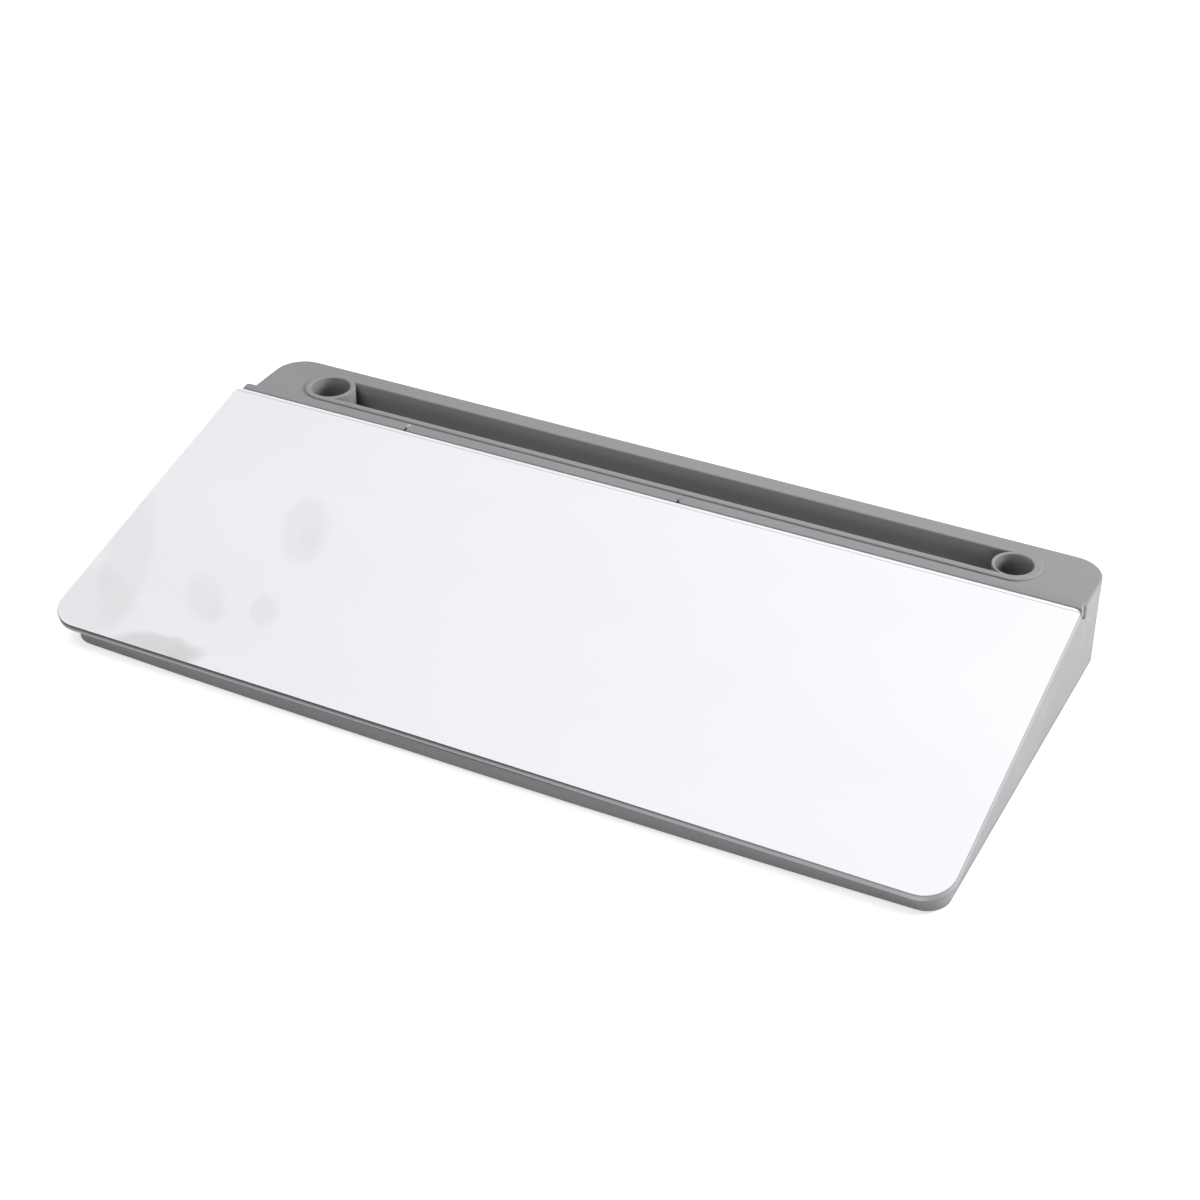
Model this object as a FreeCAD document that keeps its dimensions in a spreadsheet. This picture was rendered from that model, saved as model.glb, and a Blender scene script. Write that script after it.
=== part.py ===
import FreeCAD, Part
import math
import os
import re
import Sketcher

# Desktop whiteboard organizer: a grey moulded wedge whose glass-topped lid slides to the left over a
# storage tub. A cap behind the lid holds a drop-in trough with a phone slot and two pen cups.
# Frame: +X to the right, +Y to the back, +Z up, origin under the middle on the surface it stands on.

doc = FreeCAD.newDocument("whiteboard_organizer")
sheet = doc.addObject("Spreadsheet::Sheet", "Sizes")

# Driving sizes in millimetres, angles in degrees
sizes = {
    # writing board and lid
    "board_length": 400.0,
    "board_depth": 153.0,
    "board_tilt_deg": 14.2,
    "front_edge_height": 13.2,
    "glass_thickness": 3.0,
    "glass_overhang": 1.75,
    "glass_front_overhang": 3.0,
    "glass_front_radius": 13.0,
    "glass_rear_radius": 3.5,
    "glass_bevel": 0.35,
    "tape_thickness": 0.5,
    "tape_width": 12.0,
    "tape_inset": 12.0,
    "carrier_thickness": 2.2,
    "carrier_shift": 1.25,
    "carrier_front_radius": 10.0,
    "carrier_rear_radius": 1.5,
    "rail_gap": 0.1,
    "rail_width": 3.9,
    "rail_bevel": 0.4,
    "rail_rise": 2.7,
    # slide and its stops
    "slide_travel": 134.0,
    "stop_gap": 0.3,
    "slide_gap": 0.3,
    "notch_inset": 88.7,
    "notch_width": 1.4,
    # hook strips under the lid
    "strip_thickness": 1.5,
    "front_strip_width": 7.8,
    "front_web": 2.0,
    "front_hook_thickness": 1.2,
    "front_hook_reach": 3.0,
    "rear_strip_width": 8.6,
    "rear_hook_step": 0.7,
    "rear_hook_root": 1.6,
    "rear_hook_reach": 1.3,
    "strip_screw_radius": 1.0,
    "strip_screw_bite": 1.9,
    "strip_screw_head_radius": 1.9,
    "strip_screw_head": 1.3,
    "strip_screw_gap": 0.1,
    # base shift to the right of the lid, cap and tub
    "base_shift": 2.4,
    "cap_inset": 2.4,
    "cap_depth": 33.5,
    "cap_height": 6.5,
    "cap_top": 2.8,
    "cap_wall": 2.2,
    "cap_corner_radius": 14.0,
    "cap_front_radius": 1.0,
    "cap_rounding": 0.8,
    "cap_clearance": 0.4,
    "collar_wall": 1.2,
    "lap_gap": 0.35,
    "tub_wall": 2.0,
    "tub_floor": 2.2,
    "tub_front_setback": 3.0,
    "tub_front_bow": 3.0,
    "tub_front_radius": 10.0,
    "tub_foot_bevel": 0.8,
    "tub_rear_setback": 0.24,
    "tub_rear_radius": 2.0,
    "bay_rear_radius": 3.0,
    "channel_reach": 12.0,
    "partition_wall": 2.0,
    "lip_reach": 2.8,
    "lip_thickness": 1.3,
    "divider_height": 8.0,
    "divider_wall": 1.6,
    "divider_drop": 4.0,
    # screw posts between tub and cap
    "post_inset": 11.0,
    "post_height": 24.0,
    "post_radius": 5.2,
    "post_web": 4.0,
    "cap_boss_radius": 3.6,
    "screw_radius": 1.45,
    "screw_length": 14.0,
    "screw_head_radius": 2.8,
    "screw_head": 2.2,
    "screw_gap": 0.2,
    "screw_head_gap": 0.6,
    # accessory trough
    "trough_setback": 15.1,
    "trough_radius": 11.7,
    "trough_gap": 0.4,
    "trough_rise": 0.7,
    "trough_lap": 0.9,
    "trough_bevel": 0.35,
    "trough_top": 2.2,
    "left_cup_inset": 32.3,
    "left_tube_stretch": 1.3,
    "left_cup_radius": 9.0,
    "right_cup_inset": 35.4,
    "right_cup_radius": 8.0,
    "right_cup_wall": 1.1,
    "cup_floor": 1.8,
    "slot_width": 16.8,
    "slot_depth": 20.0,
    "slot_wall": 1.6,
    "slot_floor": 1.8,
    "trough_boss_radius": 4.0,
    "trough_screw_reach": 88.0,
    "seat_radius": 5.6,
    "seat_height": 3.0,
    "seat_sink": 2.6,
    # detent clip in the cap's front edge
    "clip_length": 30.0,
    "clip_thickness": 0.8,
    "clip_skin": 0.6,
    "clip_gap": 0.1,
    "clip_pocket": 1.6,
    "blade_width": 0.9,
    "blade_reach": 3.0,
    "blade_clearance": 0.3,
    "blade_drop": 0.7,
    # rubber feet
    "foot_radius": 6.0,
    "foot_proud": 1.0,
    "foot_sink": 1.0,
    "foot_gap": 0.2,
    "foot_side_inset": 24.0,
    "foot_front_inset": 20.0,
    "foot_rear_inset": 18.0,
    # how far every cut runs past the face it opens
    "overrun": 5.0,
}

# Places and sizes that follow from the driving ones
follows = {
    "tilt": "board_tilt_deg",
    "lid_drop": "glass_thickness + tape_thickness + carrier_thickness",
    "lid_reach": "board_depth + rail_gap + rail_width",
    "cap_front": "lid_reach * cos(tilt) + lid_drop * sin(tilt) + cap_clearance",
    "overall_depth": "cap_front + cap_depth",
    "front_y": "-overall_depth / 2",
    "rear_y": "overall_depth / 2",
    "cap_front_y": "front_y + cap_front",
    "ledge_height": "front_edge_height + lid_reach * sin(tilt) - rail_rise",
    "cap_under": "ledge_height - cap_top",
    "cap_half": "board_length / 2 - cap_inset",
    "tub_half": "cap_half - cap_wall - lap_gap",
    "inner_half": "tub_half - tub_wall",
    "tub_rear_y": "rear_y - tub_rear_setback",
    "rim_rear_y": "rear_y - cap_wall - lap_gap",
    "rim_radius": "cap_corner_radius - cap_wall - lap_gap",
    "shoulder_z": "ledge_height - cap_height - lap_gap",
    "front_mid_y": "front_y + tub_front_setback",
    "front_end_y": "front_mid_y + tub_front_bow",
    "inner_front_y": "front_end_y + tub_wall",
    "channel_front_y": "cap_front_y - channel_reach",
    "bay_rear_y": "channel_front_y - partition_wall",
    "floor_z": "foot_proud + tub_floor",
    "rim_drop": "lid_drop + slide_gap",
    "lip_drop": "rim_drop + lip_thickness",
    "hook_drop": "lip_drop + slide_gap",
    "strip_drop": "lid_drop + strip_thickness",
    "carrier_half": "board_length / 2 - glass_overhang",
    "carrier_left": "carrier_shift - carrier_half",
    "carrier_right": "carrier_shift + carrier_half",
    "notch_x": "-board_length / 2 + notch_inset",
    "post_x": "cap_half - post_inset",
    "trough_y": "cap_front_y + trough_setback",
    "post_top": "floor_z + post_height",
    "trough_level": "ledge_height + trough_rise",
    "left_cup_x": "-cap_half + left_cup_inset",
    "right_cup_x": "cap_half - right_cup_inset",
    "neck_radius": "trough_radius - trough_lap - trough_gap",
    "right_tube_radius": "right_cup_radius + right_cup_wall",
    "slot_half": "slot_width / 2",
    "foot_x": "tub_half - foot_side_inset",
}

strip_screw_shares = (0.16, 0.84)
tape_shares = (0.0, 0.5, 1.0)
near = 1e-4


def fill_sheet():
    for row, (name, number) in enumerate(sizes.items(), start=1):
        sheet.set("A%d" % row, name)
        sheet.set("B%d" % row, str(number))
        sheet.setAlias("B%d" % row, name)
    doc.recompute()


def words(text):
    # Spell a formula out in sheet cells
    def spell(match):
        word = match.group(0)
        if word in follows:
            return "(" + words(follows[word]) + ")"
        if word in sizes:
            return "Sizes." + word
        return word
    return re.sub(r"[a-z_]+", spell, text)


def bind(thing, prop, text):
    thing.setExpression(prop, words(text))


def value(text):
    return float(sheet.evalExpression(words(text)))


def slope_z(y, drop):
    # Height of the plane that lies a given drop under the glass, at a place from front to back
    return "front_edge_height + (%s - front_y) * tan(tilt) - (%s) / cos(tilt)" % (y, drop)


def new_body(name):
    body = doc.addObject("PartDesign::Body", name)
    body.Label = name
    return body


def base_body(name):
    body = new_body(name)
    bind(body, "Placement.Base.x", "base_shift")
    return body


def lid_body(name):
    # Lid pieces lie in the board's own frame: x along it, y up the slope, z out of the glass
    body = new_body(name)
    set_on_board(body)
    return body


def set_on_board(piece):
    piece.Placement = FreeCAD.Placement(
        FreeCAD.Vector(), FreeCAD.Rotation(FreeCAD.Vector(1, 0, 0), value("tilt"))
    )
    bind(piece, "Placement.Base.y", "front_y")
    bind(piece, "Placement.Base.z", "front_edge_height")
    bind(piece, "Placement.Rotation.Angle", "tilt")


def new_sketch(body, name, plane, height):
    sketch = body.newObject("Sketcher::SketchObject", name)
    support = next(f for f in body.Origin.OriginFeatures if f.Role == plane)
    sketch.AttachmentSupport = [(support, "")]
    sketch.MapMode = "FlatFace"
    bind(sketch, "AttachmentOffset.Base.z", height)
    return sketch


def lock(sketch, edge, end, x, y):
    for kind, text in (("DistanceX", x), ("DistanceY", y)):
        number = sketch.addConstraint(
            Sketcher.Constraint(kind, -1, 1, edge, end, value(text))
        )
        bind(sketch, "Constraints[%d]" % number, text)


def outline(body, name, points, plane="XY_Plane", height="0", bow=None):
    # Closed outline through points; the first edge may bow outwards by a sagitta
    sketch = new_sketch(body, name, plane, height)
    spots = [FreeCAD.Vector(value(x), value(y), 0) for x, y in points]
    for i, start in enumerate(spots):
        end = spots[(i + 1) % len(spots)]
        if i == 0 and bow:
            middle = (start + end) / 2 - FreeCAD.Vector(0, value(bow), 0)
            sketch.addGeometry(Part.Arc(start, middle, end))
        else:
            sketch.addGeometry(Part.LineSegment(start, end))

    def end_at(edge, spot):
        first, last = (sketch.getPoint(edge, end) for end in (1, 2))
        return 1 if (first - spot).Length < (last - spot).Length else 2

    for i, spot in enumerate(spots):
        before = (i - 1) % len(spots)
        sketch.addConstraint(
            Sketcher.Constraint("Coincident", before, end_at(before, spot), i, end_at(i, spot))
        )
        lock(sketch, i, end_at(i, spot), *points[i])
    if bow:
        half = "((%s) - (%s)) / 2" % (points[1][0], points[0][0])
        radius = "((%s)^2 + (%s)^2) / (2 * (%s))" % (half, bow, bow)
        number = sketch.addConstraint(Sketcher.Constraint("Radius", 0, value(radius)))
        bind(sketch, "Constraints[%d]" % number, radius)
    return sketch


def oblong(body, name, left, right, y, radius, height):
    # Long hole with round ends
    sketch = new_sketch(body, name, "XY_Plane", height)
    x0, x1, yc, r = value(left), value(right), value(y), value(radius)
    low_left = FreeCAD.Vector(x0, yc - r, 0)
    low_right = FreeCAD.Vector(x1, yc - r, 0)
    high_right = FreeCAD.Vector(x1, yc + r, 0)
    high_left = FreeCAD.Vector(x0, yc + r, 0)
    reach = FreeCAD.Vector(r, 0, 0)
    middle = FreeCAD.Vector(0, yc, 0)
    sketch.addGeometry(Part.LineSegment(low_left, low_right))
    sketch.addGeometry(Part.Arc(low_right, FreeCAD.Vector(x1, 0, 0) + middle + reach, high_right))
    sketch.addGeometry(Part.LineSegment(high_right, high_left))
    sketch.addGeometry(Part.Arc(high_left, FreeCAD.Vector(x0, 0, 0) + middle - reach, low_left))
    for edge in range(4):
        sketch.addConstraint(Sketcher.Constraint("Coincident", edge, 2, (edge + 1) % 4, 1))
    low = "(%s) - (%s)" % (y, radius)
    high = "(%s) + (%s)" % (y, radius)
    lock(sketch, 0, 1, left, low)
    lock(sketch, 0, 2, right, low)
    lock(sketch, 2, 1, right, high)
    lock(sketch, 2, 2, left, high)
    for edge, x in ((1, right), (3, left)):
        number = sketch.addConstraint(Sketcher.Constraint("DistanceX", -1, 1, edge, 3, value(x)))
        bind(sketch, "Constraints[%d]" % number, x)
    return sketch


def rounded_box(body, name, sides, front_radius, rear_radius, height):
    # Rectangle with round front corners, round rear corners or both
    x0, x1, y0, y1 = sides
    corners = [
        (x0, "+", y0, "+", front_radius, "yx"),
        (x1, "-", y0, "+", front_radius, "xy"),
        (x1, "-", y1, "-", rear_radius, "yx"),
        (x0, "+", y1, "-", rear_radius, "xy"),
    ]
    sketch = new_sketch(body, name, "XY_Plane", height)
    chain = []
    for x, x_in, y, y_in, radius, order in corners:
        if not radius:
            chain.append([(x, y)])
            continue
        inside_x = "(%s) %s (%s)" % (x, x_in, radius)
        inside_y = "(%s) %s (%s)" % (y, y_in, radius)
        ends = [(x, inside_y), (inside_x, y)] if order == "yx" else [(inside_x, y), (x, inside_y)]
        chain.append(ends + [(inside_x, inside_y)])
    edges = []
    for i, corner in enumerate(chain):
        if len(corner) == 3:
            start, end, centre = [FreeCAD.Vector(value(x), value(y), 0) for x, y in corner]
            away = (start + end) / 2 - centre
            away.normalize()
            middle = centre + away * (start - centre).Length
            edges.append((Part.Arc(start, middle, end), corner[0], corner[2][0]))
        last = corner[min(len(corner), 2) - 1]
        first = chain[(i + 1) % len(chain)][0]
        run = [FreeCAD.Vector(value(x), value(y), 0) for x, y in (last, first)]
        edges.append((Part.LineSegment(*run), last, None))
    for shape, start, centre_x in edges:
        sketch.addGeometry(shape)
    for number, (shape, start, centre_x) in enumerate(edges):
        sketch.addConstraint(
            Sketcher.Constraint("Coincident", number, 2, (number + 1) % len(edges), 1)
        )
        lock(sketch, number, 1, *start)
        if centre_x:
            place = sketch.addConstraint(
                Sketcher.Constraint("DistanceX", -1, 1, number, 3, value(centre_x))
            )
            bind(sketch, "Constraints[%d]" % place, centre_x)
    return sketch


def circles(body, name, centres, radius, height):
    sketch = new_sketch(body, name, "XY_Plane", height)
    for x, y in centres:
        centre = FreeCAD.Vector(value(x), value(y), 0)
        edge = sketch.addGeometry(Part.Circle(centre, FreeCAD.Vector(0, 0, 1), value(radius)))
        lock(sketch, edge, 3, x, y)
        number = sketch.addConstraint(Sketcher.Constraint("Radius", edge, value(radius)))
        bind(sketch, "Constraints[%d]" % number, radius)
    return sketch


def box_points(x0, x1, y0, y1):
    return [(x0, y0), (x1, y0), (x1, y1), (x0, y1)]


def raise_up(kind, sketch, length, upward, both):
    body = sketch.getParentGeoFeatureGroup()
    feature = body.newObject(kind, sketch.Name + "_" + kind.split("::")[1].lower())
    feature.Profile = sketch
    feature.SideType = "Symmetric" if both else "One side"
    feature.Reversed = upward if kind.endswith("Pocket") else not upward
    bind(feature, "Length", length)
    return feature


def volume_before(feature):
    base = feature.BaseFeature
    return base.Shape.Volume if base else 0.0


def pad(sketch, length, upward=True, both=False):
    feature = raise_up("PartDesign::Pad", sketch, length, upward, both)
    doc.recompute()
    if feature.Shape.Volume <= volume_before(feature):
        raise RuntimeError(feature.Name + " adds nothing")
    return feature


def pocket(sketch, length, upward=True, both=False):
    feature = raise_up("PartDesign::Pocket", sketch, length, upward, both)
    doc.recompute()
    if feature.Shape.Volume >= volume_before(feature):
        raise RuntimeError(feature.Name + " cuts nothing")
    return feature


def upright_at(spots):
    # Edges that stand upright at given places in plan
    places = [(value(x), value(y)) for x, y in spots]

    def test(edge):
        ends = [v.Point for v in edge.Vertexes]
        return len(ends) == 2 and any(
            all(abs(p.x - x) < near and abs(p.y - y) < near for p in ends) for x, y in places
        )
    return test


def level_at(z):
    # Edges that lie level at one height
    level = value(z)
    return lambda edge: all(abs(v.Point.z - level) < near for v in edge.Vertexes)


def dress(kind, feature, test, prop, size):
    body = feature.getParentGeoFeatureGroup()
    names = ["Edge%d" % (i + 1) for i, e in enumerate(feature.Shape.Edges) if test(e)]
    if not names:
        raise RuntimeError("no edge found on " + feature.Name)
    dressed = body.newObject(kind, feature.Name + "_" + kind.split("::")[1].lower())
    dressed.Base = (feature, names)
    bind(dressed, prop, size)
    doc.recompute()
    return dressed


def rounded(feature, test, radius):
    return dress("PartDesign::Fillet", feature, test, "Radius", radius)


def bevelled(feature, test, size):
    return dress("PartDesign::Chamfer", feature, test, "Size", size)


# Moulded tub: floor, walls cut to the board's slope, storage bay and rear channel
def make_base_tub():
    body = base_body("base_tub")
    corners = box_points("-tub_half", "tub_half", "front_end_y", "tub_rear_y")
    shell = pad(
        outline(body, "tub_plan", corners, height="foot_proud", bow="tub_front_bow"),
        "shoulder_z - foot_proud",
    )
    shell = rounded(shell, upright_at(corners[:2]), "tub_front_radius")
    shell = rounded(shell, upright_at(corners[2:]), "tub_rear_radius")
    shell = bevelled(shell, level_at("foot_proud"), "tub_foot_bevel")
    rim = ("-tub_half", "tub_half", "front_end_y + tub_front_radius", "rim_rear_y")
    pad(rounded_box(body, "rim_plan", rim, None, "rim_radius", "shoulder_z"), "cap_under - shoulder_z")

    before_y = "front_y - overrun"
    above = "cap_under + overrun"
    slope = [
        (before_y, slope_z("(front_y - overrun)", "rim_drop")),
        ("cap_front_y", slope_z("cap_front_y", "rim_drop")),
        ("cap_front_y", above),
        (before_y, above),
    ]
    pocket(outline(body, "tub_slope", slope, "YZ_Plane"), "2 * (tub_half + overrun)", both=True)

    bay = ("-inner_half", "inner_half", "inner_front_y", "bay_rear_y")
    bay_front = "tub_front_radius - tub_wall"
    pocket(rounded_box(body, "bay_plan", bay, bay_front, "bay_rear_radius", "floor_z"), "ledge_height")
    channel = ("-inner_half", "inner_half", "channel_front_y", "rim_rear_y - tub_wall")
    channel_rear = "rim_radius - tub_wall"
    pocket(rounded_box(body, "channel_plan", channel, None, channel_rear, "floor_z"), "ledge_height")
    core = ("-inner_half", "inner_half", "channel_front_y", "tub_rear_y - tub_wall")
    core_height = "shoulder_z - tub_wall - floor_z"
    pocket(rounded_box(body, "channel_core", core, None, "tub_rear_radius", "floor_z"), core_height)

    lip_root = "(inner_front_y - tub_wall / 2)"
    lip_tip = "(inner_front_y + lip_reach)"
    lip = [
        (lip_root, slope_z(lip_root, "rim_drop")),
        (lip_root, slope_z(lip_root, "lip_drop")),
        (lip_tip, slope_z(lip_tip, "lip_drop")),
        (lip_tip, slope_z(lip_tip, "rim_drop")),
    ]
    lip_length = "2 * (inner_half - (%s))" % bay_front
    pad(outline(body, "front_lip", lip, "YZ_Plane"), lip_length, both=True)

    top = "(floor_z + divider_height)"
    divider_plane = "hook_drop + front_hook_thickness + divider_drop"
    ramp_top = "front_y + (%s - front_edge_height + (%s) / cos(tilt)) / tan(tilt)"
    sink = "floor_z - tub_floor / 2"
    divider = [
        ("inner_front_y", sink),
        ("bay_rear_y", sink),
        ("bay_rear_y", top),
        (ramp_top % (top, divider_plane), top),
        (ramp_top % ("floor_z", divider_plane), "floor_z"),
        ("inner_front_y", "floor_z"),
    ]
    divider_x = "inner_half - slide_travel"
    pad(outline(body, "bay_divider", divider, "YZ_Plane", divider_x), "divider_wall", both=True)

    posts = screw_posts()
    seats = trough_seats()
    sunk = "floor_z - tub_floor / 2"
    pad(circles(body, "screw_posts", posts, "post_radius", sunk), "post_top - (%s)" % sunk)
    seat = circles(body, "trough_seats", seats, "seat_radius", sunk)
    pad(seat, "seat_height + floor_z - (%s)" % sunk)
    hole = "screw_radius + screw_gap"
    sink_radius = "screw_head_radius + screw_head_gap"
    post_sinks = circles(body, "post_sinks", posts, sink_radius, "foot_proud")
    pocket(post_sinks, "post_top - post_web - foot_proud")
    pocket(circles(body, "post_holes", posts, hole, "foot_proud"), "ledge_height")
    pocket(circles(body, "seat_sinks", seats, sink_radius, "foot_proud"), "seat_sink")
    pocket(circles(body, "seat_holes", seats, hole, "foot_proud"), "ledge_height")
    feet = list(foot_places().values())
    pocket(circles(body, "foot_sinks", feet, "foot_radius + foot_gap", "foot_proud"), "foot_sink")
    return body


def screw_posts():
    return [("-post_x", "trough_y"), ("post_x", "trough_y")]


def trough_seats():
    return [("-trough_screw_reach", "trough_y"), ("trough_screw_reach", "trough_y")]


def foot_places():
    rows = {"front": "front_mid_y + foot_front_inset", "rear": "tub_rear_y - foot_rear_inset"}
    columns = {"left": "-foot_x", "middle": "0", "right": "foot_x"}
    return {
        "foot_%s_%s" % (row, column): (x, y)
        for row, y in rows.items() for column, x in columns.items()
    }


# Cap behind the board: a ledge with a skirt over the tub and a collared opening for the trough
def make_rear_cap():
    body = base_body("rear_cap")
    corners = box_points("-cap_half", "cap_half", "cap_front_y", "rear_y")
    bottom = "ledge_height - cap_height"
    shell = pad(outline(body, "cap_plan", corners, height=bottom), "cap_height")
    shell = rounded(shell, upright_at(corners[2:]), "cap_corner_radius")
    shell = rounded(shell, upright_at(corners[:2]), "cap_front_radius")
    shell = rounded(shell, level_at("ledge_height"), "cap_rounding")
    side = "cap_half - cap_wall"
    hollow = ("-(%s)" % side, side, "cap_front_y - overrun", "rear_y - cap_wall")
    hollow_rear = "cap_corner_radius - cap_wall"
    pocket(rounded_box(body, "cap_hollow", hollow, None, hollow_rear, bottom), "cap_height - cap_top")

    hole = "trough_radius - trough_lap"
    collar = oblong(
        body, "collar_plan", "left_cup_x", "right_cup_x", "trough_y", hole + " + collar_wall", "cap_under"
    )
    pad(collar, "cap_height - cap_top", upward=False)
    opening = oblong(body, "cap_opening", "left_cup_x", "right_cup_x", "trough_y", hole, bottom)
    pocket(opening, "cap_height + overrun")
    posts = screw_posts()
    bosses = circles(body, "cap_bosses", posts, "cap_boss_radius", "cap_under")
    pad(bosses, "cap_under - post_top", upward=False)
    pilots = circles(body, "cap_pilots", posts, "screw_radius + screw_gap", "post_top")
    pocket(pilots, "screw_length - post_web")
    clip_x = "notch_x - base_shift"
    half = "(clip_length / 2 + clip_gap)"
    ends = ("%s - %s" % (clip_x, half), "%s + %s" % (clip_x, half))
    clip = box_points(*ends, "cap_front_y - overrun", "cap_front_y + clip_pocket")
    clip_plan = outline(body, "clip_pocket_plan", clip, height="cap_under + clip_skin")
    pocket(clip_plan, "cap_top - 2 * clip_skin")
    return body


# Drop-in trough: phone slot between two tubes that stand on the tub's floor
def make_accessory_trough():
    body = base_body("accessory_trough")
    top = "trough_level"
    ends = ("left_cup_x", "right_cup_x", "trough_y")
    pad(oblong(body, "trough_flange", *ends, "trough_radius", "ledge_height"), "trough_rise")
    pad(oblong(body, "trough_neck", *ends, "neck_radius", "ledge_height"), "trough_top", upward=False)
    outer = "(slot_half + slot_wall)"
    block = box_points("left_cup_x", "right_cup_x", "trough_y - " + outer, "trough_y + " + outer)
    pad(outline(body, "slot_block", block, height=top), "slot_depth + slot_floor", upward=False)
    slot = box_points("left_cup_x", "right_cup_x", "trough_y - slot_half", "trough_y + slot_half")
    pocket(outline(body, "slot_hollow", slot, height=top), "slot_depth", upward=False)
    tube = "trough_level - floor_z"
    left = [("left_cup_x", "trough_y")]
    right = [("right_cup_x", "trough_y")]
    stretched = ("left_cup_x", "left_cup_x + left_tube_stretch", "trough_y")
    pad(oblong(body, "left_tube", *stretched, "neck_radius", top), tube, upward=False)
    pad(circles(body, "right_tube", right, "right_tube_radius", top), tube, upward=False)
    pocket(circles(body, "left_cup", left, "left_cup_radius", top), tube + " - cup_floor", upward=False)
    cups = pocket(
        circles(body, "right_cup", right, "right_cup_radius", top), tube + " - cup_floor", upward=False
    )
    rims = bevelled(cups, trough_edge("trough_radius"), "trough_bevel")
    rims = bevelled(rims, trough_edge("slot_half"), "trough_bevel")
    bevelled(rims, cup_edge, "trough_bevel")
    seats = trough_seats()
    seat_top = "floor_z + seat_height"
    boss = "trough_level - slot_depth - slot_floor / 2 - (%s)" % seat_top
    pad(circles(body, "trough_bosses", seats, "trough_boss_radius", seat_top), boss)
    pocket(circles(body, "trough_pilots", seats, "screw_radius + screw_gap", seat_top),
           "screw_length - (tub_floor + seat_height - seat_sink)")
    return body


def trough_edge(reach):
    # Upper edges that lie one reach from the trough's middle line, round its ends too
    left, right, middle, far = (value(v) for v in ("left_cup_x", "right_cup_x", "trough_y", reach))

    def on_edge(edge):
        point = edge.valueAt((edge.FirstParameter + edge.LastParameter) / 2)
        beyond = max(left - point.x, point.x - right, 0)
        return level_at("trough_level")(edge) and abs(math.hypot(beyond, point.y - middle) - far) < near

    return on_edge


def cup_edge(edge):
    # Upper rims of both pen cups
    radii = [value(v) for v in ("left_cup_radius", "right_cup_radius")]
    round_one = isinstance(edge.Curve, Part.Circle) and any(abs(edge.Curve.Radius - r) < near for r in radii)
    return round_one and level_at("trough_level")(edge)


def make_screws(name, places, seat):
    # Pan-head screws, driven upwards from under the tub
    body = base_body(name)
    body.AllowCompound = True
    pad(circles(body, name + "_heads", places, "screw_head_radius", seat), "screw_head", upward=False)
    pad(circles(body, name + "_shanks", places, "screw_radius", seat), "screw_length - screw_gap")
    return body


def make_foot(name, place):
    body = base_body(name)
    pad(circles(body, name + "_disc", [place], "foot_radius", "0"), "foot_proud + foot_sink")
    return body


# Springy clip whose blade stands in a notch of the rail
def make_detent_spring():
    body = base_body("detent_spring")
    x = "(notch_x - base_shift)"
    low = "cap_under + clip_skin + clip_gap"
    tall = "cap_top - 2 * (clip_skin + clip_gap)"
    half = "clip_length / 2"
    strip_front = "cap_front_y + clip_pocket / 2 - clip_thickness / 2"
    strip = box_points(x + " - " + half, x + " + " + half, strip_front, strip_front + " + clip_thickness")
    pad(outline(body, "clip_strip", strip, height=low), tall)
    sides = (x + " - blade_width / 2", x + " + blade_width / 2")
    tip = "cap_front_y - blade_reach"
    neck = box_points(*sides, tip, strip_front + " + clip_thickness / 2")
    pad(outline(body, "clip_neck", neck, height=low), tall)
    blade = box_points(*sides, tip, "cap_front_y - blade_clearance")
    blade_top = "ledge_height + rail_rise - blade_drop"
    pad(outline(body, "clip_blade", blade, height=low), blade_top + " - (%s)" % low)
    return body


# Lid: glass on tape on a carrier with a raised rear rail
def make_writing_glass():
    body = lid_body("writing_glass")
    half = "board_length / 2"
    corners = box_points("-" + half, half, "0", "board_depth")
    sheet_glass = pad(outline(body, "glass_plan", corners), "glass_thickness", upward=False)
    sheet_glass = rounded(sheet_glass, upright_at(corners[:2]), "glass_front_radius")
    sheet_glass = rounded(sheet_glass, upright_at(corners[2:]), "glass_rear_radius")
    bevelled(sheet_glass, level_at("0"), "glass_bevel")
    return body


def make_tape(name, share):
    tape = doc.addObject("Part::Box", name)
    tape.Label = name
    bind(tape, "Length", "2 * (carrier_half - tape_inset)")
    bind(tape, "Width", "tape_width")
    bind(tape, "Height", "tape_thickness")
    set_on_board(tape)
    along = "(tape_inset + (board_depth - 2 * tape_inset - tape_width) * %s)" % share
    down = "(glass_thickness + tape_thickness)"
    bind(tape, "Placement.Base.x", "carrier_left + tape_inset")
    bind(tape, "Placement.Base.y", "front_y + %s * cos(tilt) + %s * sin(tilt)" % (along, down))
    rise = "%s * sin(tilt) - %s * cos(tilt)" % (along, down)
    bind(tape, "Placement.Base.z", "front_edge_height + " + rise)
    return tape


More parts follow.
